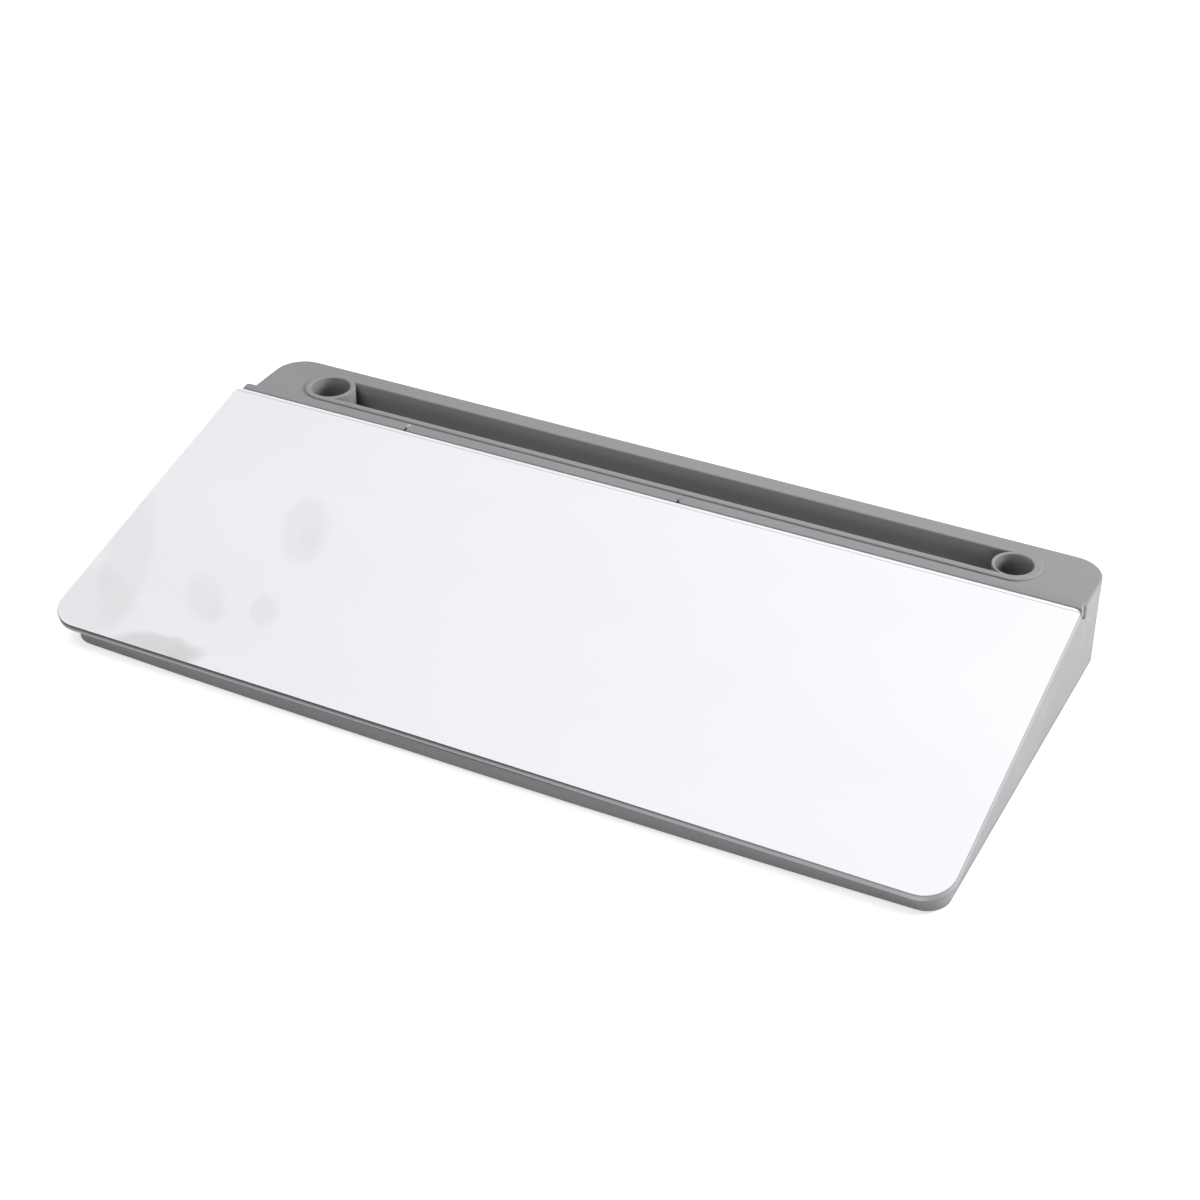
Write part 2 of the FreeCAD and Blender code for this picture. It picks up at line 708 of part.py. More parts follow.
def make_lid_carrier():
    body = lid_body("lid_carrier")
    corners = box_points("carrier_left", "carrier_right", "glass_front_overhang", "lid_reach")
    plate = pad(outline(body, "carrier_plan", corners, height="-lid_drop"), "carrier_thickness")
    plate = rounded(plate, upright_at(corners[:2]), "carrier_front_radius")
    rail_front = "board_depth + rail_gap"
    rail = pad(
        outline(body, "rail_plan", box_points("carrier_left", "carrier_right", rail_front, "lid_reach"),
                height="-lid_drop"),
        "lid_drop",
    )
    rail = rounded(rail, upright_at(corners[2:]), "carrier_rear_radius")
    bevelled(rail, level_at("0"), "rail_bevel")
    for name, shift in (("closed_notch", "0"), ("open_notch", "slide_travel")):
        x = "(notch_x + %s)" % shift
        notch = box_points(
            x + " - notch_width / 2", x + " + notch_width / 2", rail_front, "lid_reach + overrun"
        )
        pocket(outline(body, name, notch, height="overrun"), "lid_drop + 2 * overrun", upward=False)
    pilots = strip_screws("front") + strip_screws("rear")
    pocket(circles(body, "strip_pilots", pilots, "strip_screw_radius + strip_screw_gap", "-lid_drop"),
           "strip_screw_bite")
    return body


def strip_ends(end):
    # Reach of a hook strip from left to right: it stays inside the tub over the whole travel
    corner = {"front": "tub_front_radius - tub_wall + stop_gap", "rear": "0"}[end]
    left = "base_shift - inner_half + slide_travel + stop_gap + %s" % corner
    right = "base_shift + inner_half - stop_gap - (%s)" % corner
    return left, right


def front_web_y():
    tip = "(inner_front_y + lip_reach - front_y)"
    return "(%s - rim_drop * sin(tilt)) / cos(tilt) + slide_gap" % tip


def strip_screws(end):
    left, right = strip_ends(end)
    y = {
        "front": "%s + front_web + (front_strip_width - front_web) / 2" % front_web_y(),
        "rear": "lid_reach - rear_strip_width + (rear_strip_width - rear_hook_root) / 2",
    }[end]
    return [("(%s) + ((%s) - (%s)) * %s" % (left, right, left, share), y) for share in strip_screw_shares]


def make_strip(name, end, profile):
    body = lid_body(name)
    left, right = strip_ends(end)
    sketch = outline(body, name + "_section", profile, "YZ_Plane", left)
    pad(sketch, "(%s) - (%s)" % (right, left))
    pocket(circles(body, name + "_holes", strip_screws(end), "strip_screw_radius + strip_screw_gap", "0"),
           "strip_drop + overrun", upward=False)
    return body


def make_front_retainer():
    web = front_web_y()
    tip = "%s - front_hook_reach" % web
    hook_low = "-(hook_drop + front_hook_thickness)"
    profile = [
        (web, "-lid_drop"),
        (web + " + front_strip_width", "-lid_drop"),
        (web + " + front_strip_width", "-strip_drop"),
        (web + " + front_web", "-strip_drop"),
        (web + " + front_web", hook_low),
        (tip, hook_low),
        (tip, "-hook_drop"),
        (web, "-hook_drop"),
    ]
    return make_strip("front_retainer", "front", profile)


def make_rear_retainer():
    front = "lid_reach - rear_strip_width"
    step = "lid_reach - cap_clearance"
    hook_top = "(lid_drop + rear_hook_step)"
    hook_low = "(lid_drop + rear_hook_step + strip_thickness)"
    tip = "(cap_front_y + rear_hook_reach - front_y - %s * sin(tilt)) / cos(tilt)" % hook_low
    profile = [
        (front, "-lid_drop"),
        (step, "-lid_drop"),
        (step, "-" + hook_top),
        (tip, "-" + hook_top),
        (tip, "-" + hook_low),
        (step + " - rear_hook_root", "-" + hook_low),
        (step + " - rear_hook_root", "-strip_drop"),
        (front, "-strip_drop"),
    ]
    return make_strip("rear_retainer", "rear", profile)


def make_retainer_screws():
    body = lid_body("retainer_screws")
    body.AllowCompound = True
    places = strip_screws("front") + strip_screws("rear")
    pad(circles(body, "strip_heads", places, "strip_screw_head_radius", "-strip_drop"),
        "strip_screw_head", upward=False)
    pad(circles(body, "strip_shanks", places, "strip_screw_radius", "-strip_drop"),
        "strip_thickness + strip_screw_bite - strip_screw_gap")
    return body


def make_all():
    pieces = [make_base_tub(), make_rear_cap(), make_accessory_trough()]
    pieces.append(make_screws("cap_screws", screw_posts(), "post_top - post_web"))
    pieces.append(make_screws("trough_screws", trough_seats(), "foot_proud + seat_sink"))
    pieces.append(make_detent_spring())
    for name, place in foot_places().items():
        pieces.append(make_foot(name, place))
    pieces.append(make_lid_carrier())
    pieces.append(make_writing_glass())
    for name, share in zip(("tape_front", "tape_middle", "tape_rear"), tape_shares):
        pieces.append(make_tape(name, share))
    pieces.append(make_front_retainer())
    pieces.append(make_rear_retainer())
    pieces.append(make_retainer_screws())
    return pieces


def check(pieces):
    for thing in doc.Objects:
        if "Invalid" in thing.State or "Error" in thing.State:
            raise RuntimeError(thing.Label + " failed: " + str(thing.State))
    for piece in pieces:
        if piece.Shape.isNull() or not piece.Shape.isValid():
            raise RuntimeError(piece.Label + " has no valid shape")


def write(pieces):
    os.makedirs("parts", exist_ok=True)
    for piece in pieces:
        piece.Shape.exportStep("parts/%s.step" % piece.Label)
        box = piece.Shape.BoundBox
        print("%-18s %d solids %10.1f mm3  x %.2f %.2f  y %.2f %.2f  z %.2f %.2f" % (
            piece.Label, len(piece.Shape.Solids), piece.Shape.Volume,
            box.XMin, box.XMax, box.YMin, box.YMax, box.ZMin, box.ZMax))


fill_sheet()
assembly = make_all()
doc.recompute()
check(assembly)
write(assembly)
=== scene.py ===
import bpy
import bmesh
import math
from mathutils import Matrix, Vector


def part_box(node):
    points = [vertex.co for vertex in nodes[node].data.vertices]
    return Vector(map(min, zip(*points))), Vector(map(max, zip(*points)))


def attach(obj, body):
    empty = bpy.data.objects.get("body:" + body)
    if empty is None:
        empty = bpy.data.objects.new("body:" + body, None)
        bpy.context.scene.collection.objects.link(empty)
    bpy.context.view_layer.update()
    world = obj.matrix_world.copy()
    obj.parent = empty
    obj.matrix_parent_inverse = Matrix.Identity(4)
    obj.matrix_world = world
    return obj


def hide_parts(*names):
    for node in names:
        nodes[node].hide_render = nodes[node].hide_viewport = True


# Looks of a desktop whiteboard organizer, in metres, in the part's own frame
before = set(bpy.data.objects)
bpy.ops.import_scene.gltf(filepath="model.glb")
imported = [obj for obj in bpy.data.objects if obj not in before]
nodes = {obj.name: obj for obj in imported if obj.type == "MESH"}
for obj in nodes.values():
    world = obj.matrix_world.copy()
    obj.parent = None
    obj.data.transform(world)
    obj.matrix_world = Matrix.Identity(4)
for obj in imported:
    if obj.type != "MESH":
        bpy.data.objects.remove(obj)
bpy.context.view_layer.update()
scene = bpy.context.scene
scene.view_settings.view_transform = "Standard"
print("frame loaded:", len(nodes), "nodes")

# Slope of the board: tilt in degrees, and the glass's upper front edge
board = {
    "tilt": 14.2,
    "frontEdge": (0.0, -0.09374, 0.0132),
    "depth": 0.153,
}
slope = math.radians(board["tilt"])
boardTurn = Matrix.Rotation(slope, 3, "X")  # board axes to part axes
boardUp = boardTurn @ Vector((0.0, 0.0, 1.0))
boardStart = Vector(board["frontEdge"])


# Small helpers for material nodes
def startMaterial(name):
    material = bpy.data.materials.new(name)
    material.use_nodes = True
    return material, material.node_tree, material.node_tree.nodes["Principled BSDF"]


def put(tree, kind, inputs=None, **settings):
    node = tree.nodes.new(kind)
    for key, setting in settings.items():
        setattr(node, key, setting)
    for key, number in (inputs or {}).items():
        node.inputs[key].default_value = number
    return node


def wire(tree, source, target):
    tree.links.new(source, target)


def feed(tree, given, socket):
    if isinstance(given, bpy.types.NodeSocket):
        wire(tree, given, socket)
    elif given is not None:
        socket.default_value = given


def calc(tree, operation, first, second=None):
    node = put(tree, "ShaderNodeMath", operation=operation)
    feed(tree, first, node.inputs[0])
    feed(tree, second, node.inputs[1])
    return node.outputs[0]


def vectorCalc(tree, operation, first, second=None, output="Vector"):
    node = put(tree, "ShaderNodeVectorMath", operation=operation)
    feed(tree, first, node.inputs[0])
    feed(tree, second, node.inputs[1])
    return node.outputs[output]


def objectPlace(tree):
    return put(tree, "ShaderNodeTexCoord").outputs["Object"]


def boardPlace(tree):
    # x along the board, y up its slope from the front edge, z above its upper face
    shift = -(boardTurn.transposed() @ boardStart)
    turned = put(tree, "ShaderNodeMapping", {"Location": shift, "Rotation": (-slope, 0.0, 0.0)})
    wire(tree, objectPlace(tree), turned.inputs["Vector"])
    return turned.outputs["Vector"]


def partOf(tree, place, axis):
    parts = put(tree, "ShaderNodeSeparateXYZ")
    wire(tree, place, parts.inputs["Vector"])
    return parts.outputs[axis]


def noiseAt(tree, place, scale, detail=2.0, stretch=None, output="Fac"):
    if stretch:
        place = vectorCalc(tree, "MULTIPLY", place, stretch)
    noise = put(tree, "ShaderNodeTexNoise", {"Scale": scale, "Detail": detail})
    wire(tree, place, noise.inputs["Vector"])
    return noise.outputs[output]


def spread(tree, source, low, high, fromLow=0.3, fromHigh=0.7, smooth=False):
    span = put(tree, "ShaderNodeMapRange",
               {"From Min": fromLow, "From Max": fromHigh, "To Min": low, "To Max": high},
               interpolation_type="SMOOTHSTEP" if smooth else "LINEAR")
    wire(tree, source, span.inputs["Value"])
    return span.outputs["Result"]


def blendColours(tree, amount, first, second):
    mix = put(tree, "ShaderNodeMix", data_type="RGBA")
    wire(tree, amount, mix.inputs["Factor"])
    for socket, given in ((mix.inputs["A"], first), (mix.inputs["B"], second)):
        feed(tree, given + (1.0,) if isinstance(given, tuple) else given, socket)
    return mix.outputs["Result"]


def bumpFrom(tree, height, distance, strength, normal=None):
    bump = put(tree, "ShaderNodeBump", {"Strength": strength, "Distance": distance})
    wire(tree, height, bump.inputs["Height"])
    feed(tree, normal, bump.inputs["Normal"])
    return bump.outputs["Normal"]


def rampFrom(tree, source, stops):
    ramp = put(tree, "ShaderNodeValToRGB")
    wire(tree, source, ramp.inputs["Fac"])
    steps = ramp.color_ramp.elements
    for index, (place, tone) in enumerate(stops):
        step = steps[index] if index < 2 else steps.new(place)
        step.position = place
        step.color = tone + (1.0,)
    return ramp.outputs["Color"]


# Grey moulded shell: mottled colour, fine spark grain, edges rubbed pale with a painted highlight, painted
# shade in hollows and low by the desk, faint handling marks
shell = {
    "low": (0.284, 0.282, 0.293),
    "high": (0.306, 0.304, 0.316),
    "rubbedAndHighlit": (0.45, 0.45, 0.462),
    "paintedShade": (0.085, 0.084, 0.085),
    "deepReach": 0.020,
    "deepSamples": 8,
    "deepOpenness": (0.05, 0.48),
    "deepShadeShare": 0.85,
    "ledgeReach": (0.0470, 0.0488),
    "deskReach": (0.0008, 0.0060),
    "deskShadeShare": 0.34,
    "specular": 0.36,
    "edgeRadius": 0.00045,
    "edgeSamples": 6,
    "edgeAgreement": (0.75, 0.995),
    "flowScale": 24.0,
    "flowDetail": 5.0,
    "flowStretch": (0.35, 1.0, 1.0),
    "grainScale": 2400.0,
    "grainDetail": 3.0,
    "grainDepth": 0.00004,
    "grainStrength": 0.35,
    "marksScale": 60.0,
    "marksDetail": 6.0,
    "rubSpread": (0.4, 0.6),
    "handledSpread": (0.55, 0.7),
    "roughLow": 0.40,
    "roughHigh": 0.54,
    "markRough": -0.07,
}


# Softened edges: the rounded normal, and how far it turns from the face's own
def softEdges(tree):
    rounded = put(tree, "ShaderNodeBevel", {"Radius": shell["edgeRadius"]}, samples=shell["edgeSamples"])
    own = put(tree, "ShaderNodeNewGeometry").outputs["Normal"]
    agreement = vectorCalc(tree, "DOT_PRODUCT", rounded.outputs["Normal"], own, "Value")
    return rounded.outputs["Normal"], spread(tree, agreement, 1.0, 0.0, *shell["edgeAgreement"])


# Painted shade: darker in the deep slot and cups where little light reaches, or low on the walls next to the
# desk in place of the contact shadow
def paintedShadeInDeeps(tree, place):
    openness = put(tree, "ShaderNodeAmbientOcclusion", {"Distance": shell["deepReach"]},
                   samples=shell["deepSamples"])
    belowLedge = spread(tree, partOf(tree, place, "Z"), 1.0, 0.0, *shell["ledgeReach"], True)
    # painted shade: the less open the spot, the darker the colour, below the ledge only
    paintedShade = spread(tree, openness.outputs["AO"], shell["deepShadeShare"], 0.0, *shell["deepOpenness"])
    return calc(tree, "MULTIPLY", belowLedge, paintedShade)


def paintedShadeNearDesk(tree, place):
    # painted shade: darker towards the desk, standing in for the contact shadow
    return spread(tree, partOf(tree, place, "Z"), shell["deskShadeShare"], 0.0, *shell["deskReach"], True)


def mouldedGrey(name, rubAndHighlightShare, shadePainter):
    material, tree, shader = startMaterial(name)
    place = objectPlace(tree)
    flow = noiseAt(tree, place, shell["flowScale"], shell["flowDetail"], shell["flowStretch"])
    grain = noiseAt(tree, place, shell["grainScale"], shell["grainDetail"])
    marks = noiseAt(tree, place, shell["marksScale"], shell["marksDetail"])
    edgeNormal, edge = softEdges(tree)
    body = blendColours(tree, spread(tree, flow, 0.0, 1.0), shell["low"], shell["high"])
    # edges rubbed pale, partly real wear and partly a painted highlight on the rims
    wearAndHighlight = calc(tree, "MULTIPLY", edge, spread(tree, marks, 0.5 * rubAndHighlightShare, rubAndHighlightShare, *shell["rubSpread"]))
    body = blendColours(tree, wearAndHighlight, body, shell["rubbedAndHighlit"])
    # painted shade mixed into the colour where the shade mask is set
    wire(tree, blendColours(tree, shadePainter(tree, place), body, shell["paintedShade"]), shader.inputs["Base Color"])
    rough = spread(tree, grain, shell["roughLow"], shell["roughHigh"])
    handled = spread(tree, marks, 0.0, shell["markRough"], *shell["handledSpread"])
    wire(tree, calc(tree, "ADD", rough, handled), shader.inputs["Roughness"])
    shader.inputs["Specular IOR Level"].default_value = shell["specular"]
    normal = bumpFrom(tree, grain, shell["grainDepth"], shell["grainStrength"], edgeNormal)
    wire(tree, normal, shader.inputs["Normal"])
    return material


# White glass of the writing board: paint under clear glass, ground edges with painted shade along their top,
# wiped marker haze
glass = {
    "white": (0.882, 0.884, 0.914),
    "wiped": (0.858, 0.860, 0.889),
    "wipedScale": 16.0,
    "wipedDetail": 4.0,
    "wipedStretch": (0.4, 1.0, 1.0),
    "haze": (0.50, 0.50, 0.515),
    "hazeFull": 0.8,
    "warpScale": 55.0,
    "warpDetail": 3.0,
    "warpReach": 0.010,
    "smudgeEnd": 1.05,
    "wispScale": 90.0,
    "wispDetail": 4.0,
    "wispStretch": (0.6, 1.3, 1.0),
    "wispRange": (0.8, 1.1),
    "margin": (0.88, 0.885, 0.90),
    "marginWidth": 0.0019,
    "line": (0.56, 0.56, 0.575),
    "lineHalf": 0.00022,
    "roughClean": 0.045,
    "roughHazed": 0.24,
    "roughGround": 0.35,
    "thickness": 0.003,
    "topSkin": 0.00004,
    # depth below the face as a share of the thickness, and the ground edge's tone there, with painted shade
    # darkest at the top
    "edgeShadeStops": ((0.0, (0.030, 0.030, 0.032)), (0.24, (0.045, 0.045, 0.048)),
                  (0.46, (0.20, 0.202, 0.206)), (0.80, (0.48, 0.485, 0.495))),
    "sideTone": (0.31, 0.315, 0.325),
    "sideFacing": (0.25, 0.60),
    "sideShare": 0.86,
    "shadeFadeFrom": -0.04,
    "shadeFadeRate": 0.0065,
    "grindScale": 900.0,
    "grindDetail": 2.0,
    "grindStretch": (1.0, 1.0, 0.1),
    "grindShare": 0.07,
}

# Wiped-off marker on the left of the board: x, up the slope, half sizes, turn in degrees, strength, and the
# share of the half sizes at which the mark begins to fade
smudges = (
    (-0.1210, 0.0832, 0.0235, 0.0122, 121.0, 0.15, 0.60),
    (-0.1165, 0.0800, 0.0130, 0.0050, 121.0, 0.05, 0.35),
    (-0.1400, 0.0335, 0.0190, 0.0095, 128.0, 0.13, 0.60),
    (-0.1330, 0.0290, 0.0110, 0.0085, 150.0, 0.06, 0.45),
    (-0.1137, 0.0360, 0.0112, 0.0078, 124.0, 0.17, 0.55),
    (-0.1450, 0.0010, 0.0232, 0.0106, 10.0, 0.46, 0.72),
    (-0.1330, 0.0035, 0.0090, 0.0060, 10.0, 0.08, 0.40),
    (-0.1875, 0.0450, 0.0480, 0.0125, 114.0, 0.13, 0.60),
    (-0.1860, 0.0150, 0.0270, 0.0200, 150.0, 0.12, 0.55),
)


def hazeOn(tree, place):
    warp = noiseAt(tree, place, glass["warpScale"], glass["warpDetail"], output="Color")
    warp = vectorCalc(tree, "SCALE", vectorCalc(tree, "SUBTRACT", warp, (0.5, 0.5, 0.5)))
    warp.node.inputs["Scale"].default_value = glass["warpReach"]
    bent = vectorCalc(tree, "ADD", place, warp)
    total = None
    for x, along, longHalf, shortHalf, turn, strength, fadeShare in smudges:
        near = put(tree, "ShaderNodeMapping", {"Location": (x, along, 0.0),
                                               "Rotation": (0.0, 0.0, math.radians(turn)),
                                               "Scale": (longHalf, shortHalf, 1.0)}, vector_type="TEXTURE")
        wire(tree, bent, near.inputs["Vector"])
        reach = vectorCalc(tree, "LENGTH", near.outputs["Vector"], output="Value")
        spot = spread(tree, reach, strength, 0.0, fadeShare, glass["smudgeEnd"], True)
        total = spot if total is None else calc(tree, "ADD", total, spot)
    wisps = noiseAt(tree, place, glass["wispScale"], glass["wispDetail"], glass["wispStretch"])
    return calc(tree, "MULTIPLY", total, spread(tree, wisps, *glass["wispRange"]))


def writingWhite():
    material, tree, shader = startMaterial("writingWhite")
    place = boardPlace(tree)
    wiped = noiseAt(tree, place, glass["wipedScale"], glass["wipedDetail"], glass["wipedStretch"])
    face = blendColours(tree, spread(tree, wiped, 0.0, 1.0), glass["white"], glass["wiped"])
    haze = hazeOn(tree, place)
    face = blendColours(tree, haze, face, glass["haze"])
    # pale margin behind a thin line along the rear edge
    fromRear = calc(tree, "SUBTRACT", board["depth"] - glass["marginWidth"], partOf(tree, place, "Y"))
    face = blendColours(tree, calc(tree, "LESS_THAN", fromRear, 0.0), face, glass["margin"])
    onLine = calc(tree, "LESS_THAN", calc(tree, "ABSOLUTE", fromRear), glass["lineHalf"])
    face = blendColours(tree, onLine, face, glass["line"])
    depth = calc(tree, "MULTIPLY", partOf(tree, place, "Z"), -1.0)
    grind = noiseAt(tree, place, glass["grindScale"], glass["grindDetail"], glass["grindStretch"])
    # painted shade: the dark of the ground edge thins out to the right, where the light comes from, and at
    # the corners
    shadeFade = calc(tree, "MAXIMUM", calc(tree, "SUBTRACT", partOf(tree, place, "X"), glass["shadeFadeFrom"]), 0.0)
    edgeDepth = calc(tree, "ADD", depth, calc(tree, "MULTIPLY", shadeFade, glass["shadeFadeRate"]))
    # painted shade: the ground edge is darkest just under the face and lightens with depth
    ground = rampFrom(tree, spread(tree, edgeDepth, 0.0, 1.0, 0.0, glass["thickness"]), glass["edgeShadeStops"])
    normal = put(tree, "ShaderNodeTexCoord").outputs["Normal"]
    turned = calc(tree, "ABSOLUTE", partOf(tree, normal, "X"))
    facing = spread(tree, turned, 0.0, glass["sideShare"], *glass["sideFacing"], True)
    # the side edges, which face the light, take an even tone without the painted shade
    ground = blendColours(tree, facing, ground, glass["sideTone"])
    ground = blendColours(tree, spread(tree, grind, 0.0, glass["grindShare"]), ground, glass["haze"])
    below = calc(tree, "GREATER_THAN", depth, glass["topSkin"])
    wire(tree, blendColours(tree, below, face, ground), shader.inputs["Base Color"])
    rough = spread(tree, haze, glass["roughClean"], glass["roughHazed"], 0.0, glass["hazeFull"])
    roughBelow = calc(tree, "MULTIPLY", below, glass["roughGround"])
    wire(tree, calc(tree, "MAXIMUM", rough, roughBelow), shader.inputs["Roughness"])
    return material


# Off-white slide strips: waxy, with flow streaks along their length
slide = {
    "low": (0.60, 0.595, 0.57),
    "high": (0.67, 0.665, 0.64),
    "clipTint": 0.96,
    "streakScale": 90.0,
    "streakDetail": 4.0,
    "streakStretch": (0.06, 1.0, 1.0),
    "roughLow": 0.34,
    "roughHigh": 0.48,
    "rippleDepth": 0.00002,
    "rippleStrength": 0.4,
    "glowWeight": 0.08,
    "glowRadius": (0.002, 0.0018, 0.0016),
}


def waxyPlastic(name, tint):
    material, tree, shader = startMaterial(name)
    place = objectPlace(tree)
    streak = noiseAt(tree, place, slide["streakScale"], slide["streakDetail"], slide["streakStretch"])
    low, high = (tuple(part * tint for part in slide[key]) for key in ("low", "high"))
    wire(tree, blendColours(tree, spread(tree, streak, 0.0, 1.0), low, high), shader.inputs["Base Color"])
    wire(tree, spread(tree, streak, slide["roughLow"], slide["roughHigh"]), shader.inputs["Roughness"])
    ripple = bumpFrom(tree, streak, slide["rippleDepth"], slide["rippleStrength"])
    wire(tree, ripple, shader.inputs["Normal"])
    shader.inputs["Subsurface Weight"].default_value = slide["glowWeight"]
    shader.inputs["Subsurface Radius"].default_value = slide["glowRadius"]
    return material


def dressNodes():
    # how far the edges are rubbed pale with a painted highlight, and where painted shade darkens the colour
    grey = {"base_tub": (0.20, paintedShadeNearDesk), "rear_cap": (0.45, paintedShadeNearDesk),
            "accessory_trough": (0.70, paintedShadeInDeeps), "lid_carrier": (0.45, paintedShadeNearDesk)}
    finishes = {name: mouldedGrey(name + "Grey", *look) for name, look in grey.items()}
    finishes["writing_glass"] = writingWhite()
    strips = waxyPlastic("slidePlastic", 1.0)
    finishes.update({name: strips for name in ("front_retainer", "rear_retainer")})
    finishes["detent_spring"] = waxyPlastic("clipPlastic", slide["clipTint"])
    for name, finish in finishes.items():
        nodes[name].data.materials.clear()
        nodes[name].data.materials.append(finish)


dressNodes()
print("finishes on the moulded pieces and the glass")


# New pieces: a mesh from bmesh, smooth, on a body, in place of nodes
def addPiece(name, build, finish, body, slot, *replaced, sharpFrom=38.0):
    bmesh.ops.recalc_face_normals(build, faces=build.faces)
    for face in build.faces:
        face.smooth = True
    mesh = bpy.data.meshes.new(name)
    build.to_mesh(mesh)
    build.free()
    mesh.set_sharp_from_angle(angle=math.radians(sharpFrom))
    mesh.materials.append(finish)
    piece = bpy.data.objects.new(name, mesh)
    scene.collection.objects.link(piece)
    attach(piece, body)
    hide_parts(*replaced)
    return piece


def ringOf(build, count, pointAt):
    return [build.verts.new(pointAt(2.0 * math.pi * step / count)) for step in range(count)]


def joinRings(build, first, second):
    count = len(first)
    for step in range(count):
        after = (step + 1) % count
        build.faces.new((first[step], first[after], second[after], second[step]))


def closeRing(build, ring, middle):
    tip = build.verts.new(middle)
    for step in range(len(ring)):
        build.faces.new((ring[step], ring[(step + 1) % len(ring)], tip))


# Rubber feet: flat ring to stand on, shallow dish inside it, rolled outer edge
foot = {
    "segments": 56,
    # radius as a share of the foot's, height in metres from the desk
    "profile": ((0.50, 0.00030), (0.56, 0.00022), (0.60, 0.00004), (0.64, 0.0), (0.88, 0.0),
                (0.93, 0.00006), (0.97, 0.00020), (0.99, 0.00042), (1.0, 0.00070)),
    "dish": 0.00034,
    "dark": (0.030, 0.030, 0.032),
    "dusty": (0.085, 0.083, 0.080),
    "speckScale": 900.0,
    "speckDetail": 3.0,
    "dustScale": 120.0,
    "dustDetail": 5.0,
    "dustSpread": (0.42, 0.72),
    "dustShare": 0.6,
    "roughLow": 0.70,
    "roughHigh": 0.90,
    "grainDepth": 0.00005,
    "grainStrength": 0.6,
}


def footRubber():
    material, tree, shader = startMaterial("footRubber")
    place = objectPlace(tree)
    dust = noiseAt(tree, place, foot["dustScale"], foot["dustDetail"])
    dust = spread(tree, dust, 0.0, foot["dustShare"], *foot["dustSpread"])
    speck = noiseAt(tree, place, foot["speckScale"], foot["speckDetail"])
    wire(tree, blendColours(tree, dust, foot["dark"], foot["dusty"]), shader.inputs["Base Color"])
    wire(tree, spread(tree, speck, foot["roughLow"], foot["roughHigh"]), shader.inputs["Roughness"])
    wire(tree, bumpFrom(tree, speck, foot["grainDepth"], foot["grainStrength"]), shader.inputs["Normal"])
    return material


def makeFeet():
    rubber = footRubber()
    for name in sorted(nodes):
        if not name.startswith("foot_"):
            continue
        low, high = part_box(name)
        middle = (low + high) / 2
        radius = (high.x - low.x) / 2
        build = bmesh.new()
        rings = []
        for share, height in foot["profile"] + ((1.0, high.z - low.z),):
            spot = Vector((middle.x, middle.y, low.z + height))
            rings.append(ringOf(build, foot["segments"], lambda turn: spot + Vector(
                (math.cos(turn), math.sin(turn), 0.0)) * radius * share))
        for first, second in zip(rings, rings[1:]):
            joinRings(build, first, second)
        closeRing(build, rings[0], (middle.x, middle.y, low.z + foot["dish"]))
        closeRing(build, rings[-1], (middle.x, middle.y, high.z))
        words = name.split("_")
        addPiece("foot" + words[1].title() + words[2].title(), build, rubber, "base", "foot_rubber", name)


makeFeet()
print("rubber feet made")

# Screws: pan head with a cross recess, threaded shank and a blunt point
screw = {
    "segments": 48,
    "headRings": 18,
    "domeShare": 0.42,
    "crossCore": 0.17,
    "crossReach": 0.62,
    "crossSlope": 0.14,
    "crossDepth": 0.55,
    "pitch": 0.00110,
    "threadShare": 0.20,
    "rowsAPitch": 6,
    "shankSegments": 20,
    "threadFlank": 1.4,
    "tipShare": 0.12,
    "tipRadiusShare": 0.55,
    "shankFromShare": 0.9,
    "headEdgeShare": 0.85,
    "neckGap": 0.0005,
    "weldReach": 0.000002,
    "sharpFrom": 70.0,
    "dark": (0.42, 0.42, 0.43),
    "bright": (0.62, 0.62, 0.64),
    "cloudScale": 420.0,
    "cloudDetail": 4.0,
    "brushScale": 1500.0,
    "brushDetail": 2.0,
    "brushStretch": (1.0, 1.0, 0.2),
    "brushDepth": 0.00001,
    "brushStrength": 0.5,
    "roughLow": 0.24,
    "roughHigh": 0.44,
}


def screwSteel():
    material, tree, shader = startMaterial("screwSteel")
    place = objectPlace(tree)
    cloud = noiseAt(tree, place, screw["cloudScale"], screw["cloudDetail"])
    brush = noiseAt(tree, place, screw["brushScale"], screw["brushDetail"], screw["brushStretch"])
    wire(tree, blendColours(tree, spread(tree, cloud, 0.0, 1.0), screw["dark"], screw["bright"]),
         shader.inputs["Base Color"])
    shader.inputs["Metallic"].default_value = 1.0
    wire(tree, spread(tree, brush, screw["roughLow"], screw["roughHigh"]), shader.inputs["Roughness"])
    wire(tree, bumpFrom(tree, brush, screw["brushDepth"], screw["brushStrength"]), shader.inputs["Normal"])
    return material


# Points of each separate solid in a node
def looseSolids(name):
    build = bmesh.new()
    build.from_mesh(nodes[name].data)
    bmesh.ops.remove_doubles(build, verts=build.verts, dist=screw["weldReach"])
    waiting = set(build.verts)
    groups = []
    while waiting:
        found = [waiting.pop()]
        for vert in found:
            for edge in vert.link_edges:
                other = edge.other_vert(vert)
                if other in waiting:
                    waiting.remove(other)
                    found.append(other)
        groups.append([vert.co.copy() for vert in found])
    build.free()
    return sorted(groups, key=lambda group: (round(group[0].y, 2), round(group[0].x, 2)))


